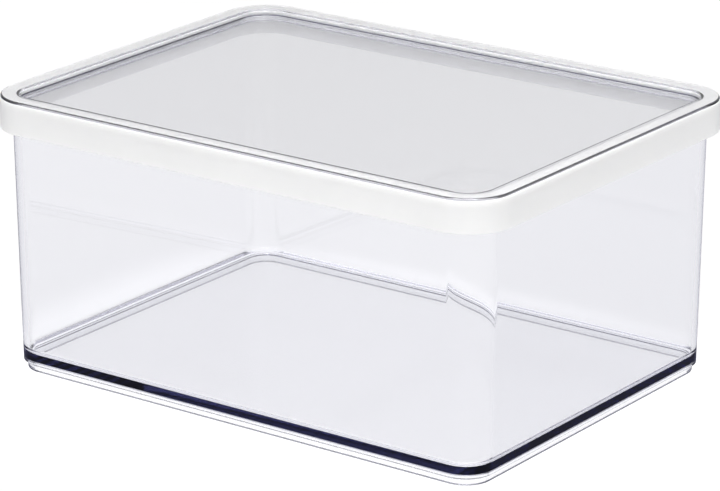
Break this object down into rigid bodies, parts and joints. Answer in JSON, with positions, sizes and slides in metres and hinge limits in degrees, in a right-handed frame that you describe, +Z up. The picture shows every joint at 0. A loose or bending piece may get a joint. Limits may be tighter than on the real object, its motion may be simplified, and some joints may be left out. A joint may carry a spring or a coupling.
{
  "type": "stackable storage bin",
  "caption": "Clear rectangular storage bin with a lift-off lid: sunken clear panel, light collar and seal; its foot nests in the lid of the bin below.",
  "frame": {"origin": "centre of the footprint, on the surface the bin stands on", "axes": "+X along the length, +Y across the width, +Z up, the way the lid lifts off"},
  "size_m": [0.2, 0.15, 0.096],
  "materials": {
    "clear_tub": "clear moulded plastic with a faint violet-blue tint, polished",
    "clear_panel": "clear moulded plastic, polished",
    "white_collar": "satin white moulded plastic",
    "soft_seal": "soft translucent white elastomer"
  },
  "bodies": {
    "tub": {"tub": "clear_tub"},
    "lid": {"lid_panel": "clear_panel", "lid_collar": "white_collar", "lid_seal": "soft_seal"}
  },
  "joints": [
    {"name": "lid_lift", "type": "slide", "parent": "tub", "child": "lid", "axis": [0, 0, 1], "range_m": [0, 0.12]}
  ]
}
